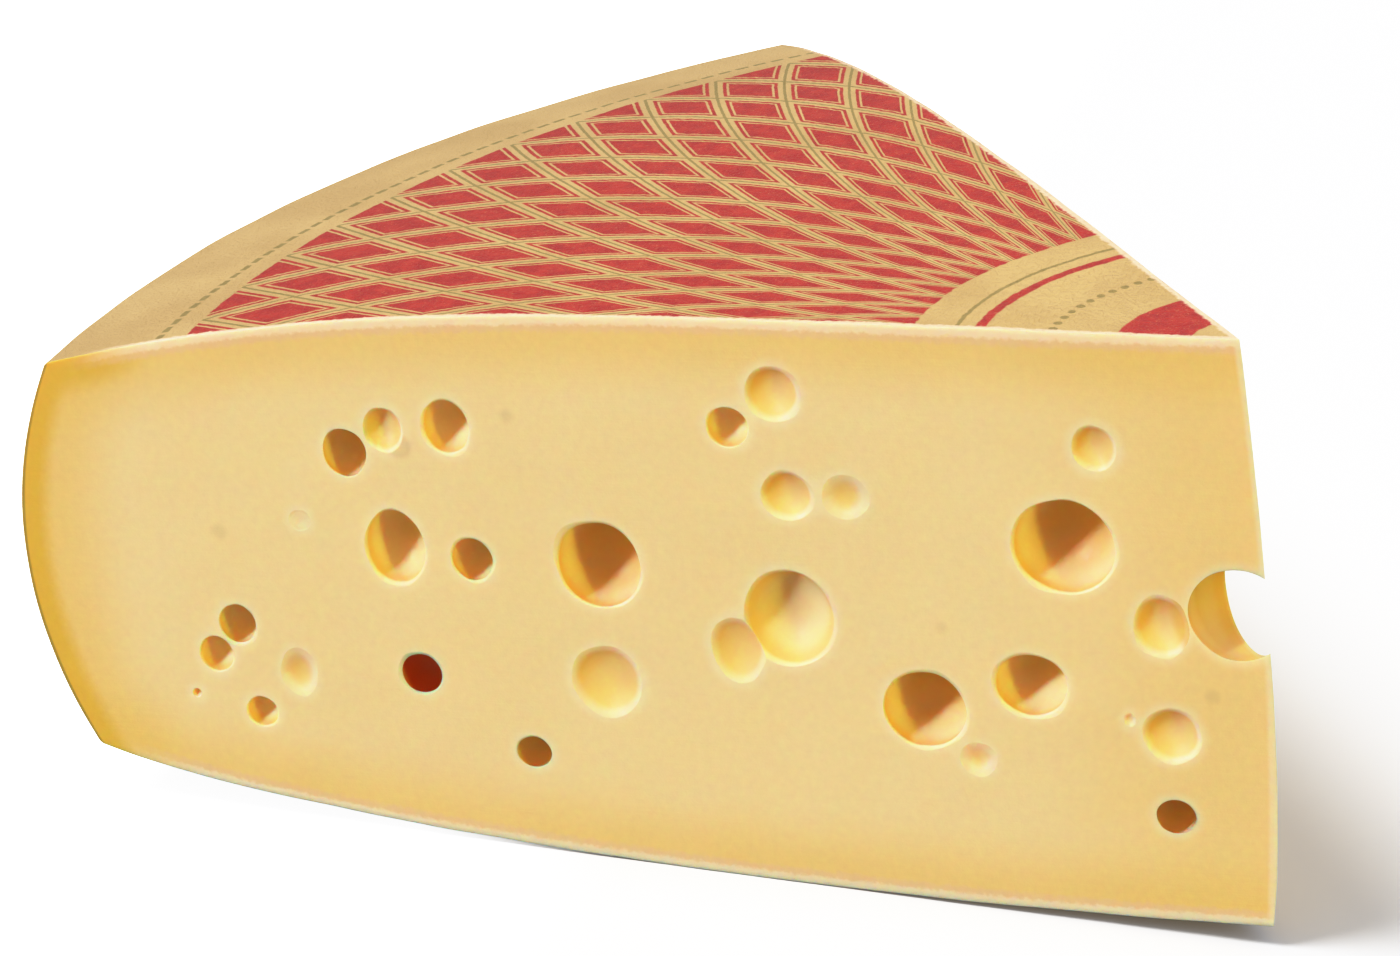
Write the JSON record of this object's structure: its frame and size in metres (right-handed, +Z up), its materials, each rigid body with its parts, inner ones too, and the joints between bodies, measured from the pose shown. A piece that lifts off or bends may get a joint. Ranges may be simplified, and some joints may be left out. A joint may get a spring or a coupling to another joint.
{
  "type": "cheese wedge",
  "caption": "Wedge cut from a large domed wheel of semi-hard cheese, with round gas holes opened in both cut faces and a bulging rind at the rim.",
  "frame": {"origin": "bottom centre of the bounding box, on the surface that the wedge rests on", "axes": "+Z up; +X runs along the front cut from the rim to the tip; the front cut faces -Y"},
  "size_m": [0.4464, 0.3536, 0.2184],
  "materials": {
    "cheese": "satin, slightly waxy cut cheese"
  },
  "bodies": {
    "root": {"cheese_wedge": "cheese"}
  },
  "joints": []
}
